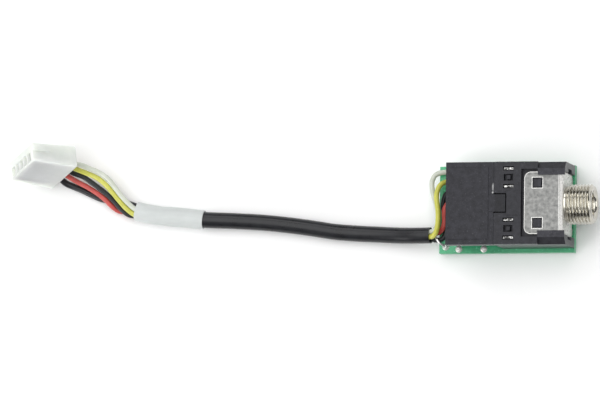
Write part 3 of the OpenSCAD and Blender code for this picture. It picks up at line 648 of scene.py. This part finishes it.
def lead_points(name):
    """The lead's whole route, board end first."""
    angle, way = ANGLES[name], WAYS[name]
    ring = DRAIN_RING if name == "drain" else LEAD_RING
    pts = [in_way(LEAD_END, way), in_way(LEAD_TURN, way)] + [Vector(q) for q in PLUG_ENDS[name]]
    pts += [bundled(SLEEVE_ROUTE, 0, angle[0], ring[0]),
            bundled(SLEEVE_ROUTE, 1, sum(angle) / 2, sum(ring) / 2)]
    pts += [bundled(JACKET_ROUTE, i, angle[1], ring[1]) for i in range(len(JACKET_ROUTE))]
    pts += [Vector(q) for q in BOARD_ENDS[name]] + [Vector((*PADS[name], BOARD_TOP + PAD_LIFT))]
    return pts[::-1]


def above_floor(path, r):
    """The path with no point of a cord of radius r below the floor."""
    return [Vector((q.x, q.y, max(q.z, r))) for q in path]


# The plug and its terminals keep the form of their solids, with rounded edges

WIRE_FACE_ROUNDING, SIDE_ROUNDING = 0.42, 0.2
OUTSIDE_EDGE_L, LONG_EDGE_L = 3.2, 5
NEAR_WIRE_FACE, FAR_BACK = -0.05, -5


def in_front(edge):
    """How far in front of the plug's wire face the hindmost end of an edge lies, in mm."""
    return min((PLUG_TURN.transposed() @ (v.co / MM - PLUG_AT)).x for v in edge.verts)


def on_wire_face(edge):
    """Whether an outside edge of the plug lies round its wire face."""
    return edge.calc_length() > OUTSIDE_EDGE_L * MM and in_front(edge) > NEAR_WIRE_FACE


def along_plug(edge):
    """Whether an edge of the plug is a long one that reaches far back from its wire face."""
    return edge.calc_length() > LONG_EDGE_L * MM and in_front(edge) < FAR_BACK


plug = dress("plug_housing", "plug_body", NYLON, bevel=0.08,
             outer=[(WIRE_FACE_ROUNDING, on_wire_face), (SIDE_ROUNDING, along_plug)])
for lead, way in WAYS.items():
    dress("crimp_terminal_%d" % way, "crimp_%s" % lead, TINNED, bevel=0.03)


# The jacket and the sleeve shrunk over its end

# Sides of each tube, and about how far apart its rings are in mm
JACKET_SIDES, JACKET_STEP = 28, 0.6
SLEEVE_SIDES, SLEEVE_STEP = 36, 0.3
LEAD_SIDES, LEAD_STEP = 16, 0.35
DRAIN_SIDES, DRAIN_STEP = 28, 0.25
DRAIN_TUBE_SIDES, DRAIN_TUBE_STEP = 20, 0.3

jacket_path = above_floor(smooth_path(JACKET_ROUTE[::-1], JACKET_STEP), JACKET_R)
jacket_skin = tube(jacket_path, JACKET_R, JACKET_SIDES, wall=JACKET_WALL)
jacket = mesh_piece("jacket_tube", jacket_skin, JACKET, "cable_jacket")

# The sleeve's narrow places, just past the jacket's end and at the far end: the distance of each
# from the sleeve's mouth and how far it spreads in mm, and by which share it is narrower
NECK_AT, NECK_SPREAD, NECK_DEPTH = 4.2, 0.7, 0.035
FAR_END_AT, FAR_END_SPREAD, FAR_END_DEPTH = 10.4, 0.5, 0.02
SLEEVE_OVAL, SLEEVE_TWIST = 0.012, 0.8


def sleeve_radius(s):
    neck = 1.0 - NECK_DEPTH * math.exp(-((s - NECK_AT) / NECK_SPREAD) ** 2)
    end = 1.0 - FAR_END_DEPTH * math.exp(-(max(0.0, FAR_END_AT - s) / FAR_END_SPREAD) ** 2)
    return SLEEVE_R * neck * end


def sleeve_shape(s, a):
    """A little out of round, turning along the sleeve."""
    return 1.0 - SLEEVE_OVAL * (1 + math.sin(2 * a + s * SLEEVE_TWIST)) / 2


sleeve_path = above_floor(smooth_path(SLEEVE_ROUTE, SLEEVE_STEP), SLEEVE_R)
sleeve_skin = tube(sleeve_path, sleeve_radius, SLEEVE_SIDES, wall=SLEEVE_WALL, shape=sleeve_shape)
sleeve = mesh_piece("sleeve_tube", sleeve_skin, SLEEVE, "shrink_sleeve")


# The four insulated leads

WIRES = {"grey": (GREY_WIRE, "lead_grey"), "yellow": (YELLOW_WIRE, "lead_yellow"),
         "black": (BLACK_WIRE, "lead_black"), "red": (RED_WIRE, "lead_red")}
for lead, (mat, slot) in WIRES.items():
    path = above_floor(smooth_path(lead_points(lead), LEAD_STEP), LEAD_R)
    wire = mesh_piece("wire_%s" % lead, tube(path, LEAD_R, LEAD_SIDES), mat, "%s_lead" % lead)


# The drain lead is a bundle of fine strands twisted together, with a black tube at the plug end

STRAND_COUNT = 7
STRAND_TWIST = 1.4
STRAND_GROOVE = 0.14


def strand_shape(s, a):
    return 1.0 - STRAND_GROOVE * (0.5 - 0.5 * math.cos(STRAND_COUNT * (a - s * STRAND_TWIST)))


drain_path = above_floor(smooth_path(lead_points("drain"), DRAIN_STEP), DRAIN_R)
drain_strands = tube(drain_path, DRAIN_R, DRAIN_SIDES, shape=strand_shape)
drain = mesh_piece("wire_drain", drain_strands, STRANDS, "drain_lead")

drain_tube_route = [in_way(DRAIN_TUBE_END, WAYS["drain"])] + [Vector(q) for q in PLUG_ENDS["drain"]]
drain_tube_route.append(bundled(SLEEVE_ROUTE, 0, ANGLES["drain"][0], DRAIN_RING[0]))
drain_tube_path = above_floor(smooth_path(drain_tube_route, DRAIN_TUBE_STEP), DRAIN_TUBE_R)
drain_tube_skin = tube(drain_tube_path, DRAIN_TUBE_R, DRAIN_TUBE_SIDES, wall=DRAIN_TUBE_WALL)
drain_tube = mesh_piece("drain_tube_skin", drain_tube_skin, JACKET, "drain_tube")


# The jack's housings, plate, board and contacts

dress("front_housing", "front_moulding", PLASTIC, bevel=0.06)
dress("rear_housing", "rear_moulding", PLASTIC_REAR, bevel=0.06)
# The plate's rims, front faces and top margins carry a painted highlight
dress("front_plate", "plate_sheet", NICKEL, bevel=0.12, steps=3, rim=NICKEL_PAINTED_HIGHLIGHT)
dress("circuit_board", "board_laminate", GREEN, bevel=0.04)
# The contact blades carry painted glints and shade
for part in ("tip_break_contact", "ring_break_contact", "tip_make_contact", "ring_make_contact"):
    dress(part, part.replace("contact", "blade"), BLADE, bevel=0.03)
for part in ("tip_terminal", "ring_terminal"):
    dress(part, part.replace("terminal", "root"), BRASS, bevel=0.03)
dress("tip_spring", "tip_strip", BRASS, bevel=0.02, body="tip_leaf")
dress("ring_spring", "ring_strip", BRASS, bevel=0.02, body="ring_leaf")


# The threaded bushing: a turned barrel with a real helical thread

BARREL_SIDES = 144
THREAD_ROWS = 118
THREAD_FROM, THREAD_TO = PLATE_FRONT + 0.3, NOSE_END - 0.1
LEAD_IN, RUN_OUT = 0.25, 0.12
ROOT_FLAT, FLANK_SHARE, FLANK_CURVE = 0.08, 0.76, 0.35
NOSE_CHAMFER = 0.35
NOSE_R, MOUTH_R = 2.62, 2.2
EASE = 0.06


def clamped(value):
    return min(1.0, max(0.0, value))


def thread_radius(x, a):
    """Outside radius of the barrel in front of the plate, at distance x and angle a."""
    phase = ((x - THREAD_FROM) / THREAD_PITCH - a / (2 * math.pi)) % 1.0
    rise = clamped((abs(2 * phase - 1) - ROOT_FLAT) / FLANK_SHARE)
    height = rise * rise * (3 - 2 * rise) * FLANK_CURVE + rise * (1 - FLANK_CURVE)
    fade = clamped((x - THREAD_FROM) / LEAD_IN) * clamped((THREAD_TO - x) / RUN_OUT)
    r = ROOT_R + (CREST_R - ROOT_R) * height * fade
    return min(r, CREST_R - max(0.0, x - (NOSE_END - NOSE_CHAMFER)))


def bushing():
    """Rings of points from the spigot over the thread into the mouth, joined back through the bore."""
    spigot = [(SPIGOT_END, BORE_R), (SPIGOT_END, SPIGOT_R - EASE), (SPIGOT_END + EASE, SPIGOT_R),
              (PLATE_FRONT, SPIGOT_R), (PLATE_FRONT, ROOT_R - 0.02), (PLATE_FRONT + 0.03, ROOT_R)]
    mouth = [(NOSE_END, NOSE_R), (NOSE_END, MOUTH_R), (NOSE_END - 0.03, MOUTH_R - EASE),
             (NOSE_END - 0.33, BORE_R + 0.02), (NOSE_END - 0.38, BORE_R)]
    angles = [2 * math.pi * k / BARREL_SIDES for k in range(BARREL_SIDES)]
    rows = [[(x, r)] * BARREL_SIDES for x, r in spigot]
    first, last = PLATE_FRONT + 0.08, NOSE_END - 0.03
    for i in range(THREAD_ROWS + 1):
        x = first + (last - first) * i / THREAD_ROWS
        rows.append([(x, thread_radius(x, a)) for a in angles])
    rows += [[(x, r)] * BARREL_SIDES for x, r in mouth]
    pts, faces = [], []
    for row in rows:
        for a, (x, r) in zip(angles, row):
            pts.append((x, JACK_Y + r * math.cos(a), AXIS_Z + r * math.sin(a)))
    for i in range(len(rows)):
        near, far = i * BARREL_SIDES, (i + 1) % len(rows) * BARREL_SIDES
        for k in range(BARREL_SIDES):
            m = (k + 1) % BARREL_SIDES
            faces.append((near + k, near + m, far + m, far + k))
    return pts, faces


mesh_piece("barrel_thread", bushing(), TURNED, "threaded_bushing", smooth=45)


# Solder: small shining domes with hollow flanks, one piece

SOLDER_SIDES = 28
JOINT_R, JOINT_H = 0.55, 0.6
JOINT_STEPS, JOINT_CURVE = 7, 1.8
OVER_TIP_R, UNDER_TIP_R, PIN_TIP_R = 0.22, 0.16, 0.18
TIP_FLAT_R = 0.1
HOLE_R, HOLE_EASE = 0.35, 0.02
UNEVENNESS = 0.05
PIN_SEED, SIDE_SEED = 9, 20
SIDE_JOINT_XS = (BOARD_LOW.x + 3, BOARD_LOW.x + 6.8)
SIDE_JOINT_Y = -5.88
SIDE_JOINT = [(0, 0), (0.55, 0), (0.52, 0.08), (0.44, 0.18), (0.32, 0.26), (0.16, 0.3), (0, 0.3)]
# Height and half sizes along X and Y of the joint on each of the plate's tabs
TAB_JOINT = [(0.0, 0.2, 0.6), (0.15, 0.24, 0.72), (0.45, 0.3, 0.82), (BOARD_UNDER, 0.4, 0.85)]


def flank(low, high, tip):
    """A profile that is wide at its foot and sweeps in to its tip."""
    out = []
    for i in range(JOINT_STEPS + 1):
        t = i / JOINT_STEPS
        out.append((JOINT_R + (tip - JOINT_R) * (1 - (1 - t) ** JOINT_CURVE), low + (high - low) * t))
    return out


def wobble(seed):
    """An uneven outline, different for each seed."""
    return lambda a: 1.0 - UNEVENNESS * (0.5 + 0.5 * math.sin(3 * a + seed) * math.cos(2 * a - seed))


def pad_joint(x, y, seed):
    """A lead's joint: a dome on the board, solder through the hole, and a dome under it."""
    under = flank(BOARD_UNDER, 0.0, UNDER_TIP_R)[::-1]
    through = [(HOLE_R, BOARD_UNDER + HOLE_EASE), (HOLE_R, BOARD_TOP - HOLE_EASE)]
    over = flank(BOARD_TOP, BOARD_TOP + JOINT_H, OVER_TIP_R)
    tip = [(TIP_FLAT_R, BOARD_TOP + JOINT_H), (0, BOARD_TOP + JOINT_H)]
    return lathe([(0, 0)] + under + through + over + tip, SOLDER_SIDES, (x, y, 0), wobble(seed))


def pin_joint(x, y, seed):
    """A contact's joint, under the board only."""
    profile = [(0, 0)] + flank(BOARD_UNDER, 0.0, PIN_TIP_R)[::-1] + [(0, BOARD_UNDER)]
    return lathe(profile, SOLDER_SIDES, (x, y, 0), wobble(seed))


def side_joint(x, y, seed):
    """A low dome on the board beside the rear housing."""
    return lathe(SIDE_JOINT, SOLDER_SIDES, (x, y, BOARD_TOP), wobble(seed))


def softened(value):
    """The square root of a sine or cosine with its sign kept, for a rounded rectangle."""
    return math.copysign(abs(value) ** 0.5, value)


def tab_joint(x, y):
    """The joint round one of the plate's tabs, under the board."""
    n = SOLDER_SIDES
    angles = [2 * math.pi * k / n for k in range(n)]
    pts = []
    for z, half_x, half_y in TAB_JOINT:
        for a in angles:
            pts.append((x + half_x * softened(math.cos(a)), y + half_y * softened(math.sin(a)), z))
    faces = []
    for row in range(len(TAB_JOINT) - 1):
        for k in range(n):
            m = (k + 1) % n
            faces.append((row * n + k, row * n + m, (row + 1) * n + m, (row + 1) * n + k))
    faces.append(tuple(range(n - 1, -1, -1)))
    faces.append(tuple(range(len(pts) - n, len(pts))))
    return pts, faces


def solder():
    """All the joints as one mesh of separate domes."""
    pins = [(BLADE_X, side * y) for side in (-1, 1) for y in BLADE_YS]
    pins += [(ROOT_PIN_X, side * ROOT_PIN_Y) for side in (-1, 1)]
    joints = [pad_joint(x, y, i) for i, (x, y) in enumerate(PADS.values())]
    joints += [pin_joint(x, JACK_Y + y, i + PIN_SEED) for i, (x, y) in enumerate(pins)]
    joints += [tab_joint(PLATE_FRONT - PLATE_T / 2, JACK_Y + side * TAB_Y) for side in (-1, 1)]
    joints += [side_joint(x, SIDE_JOINT_Y, i + SIDE_SEED) for i, x in enumerate(SIDE_JOINT_XS)]
    pts, faces = [], []
    for joint_pts, joint_faces in joints:
        base = len(pts)
        pts += joint_pts
        faces += [tuple(base + i for i in face) for face in joint_faces]
    return pts, faces


mesh_piece("solder_domes", solder(), SOLDER, "solder_joints", smooth=60)


# Floor, in metres, a hair below the part

FLOOR_SIZE = 6.0
FLOOR_Z = -0.00002

bpy.ops.mesh.primitive_plane_add(size=FLOOR_SIZE, location=(0, 0, FLOOR_Z))
floor = bpy.context.object
floor.name = "floor"
floor.data.materials.append(FLOOR)
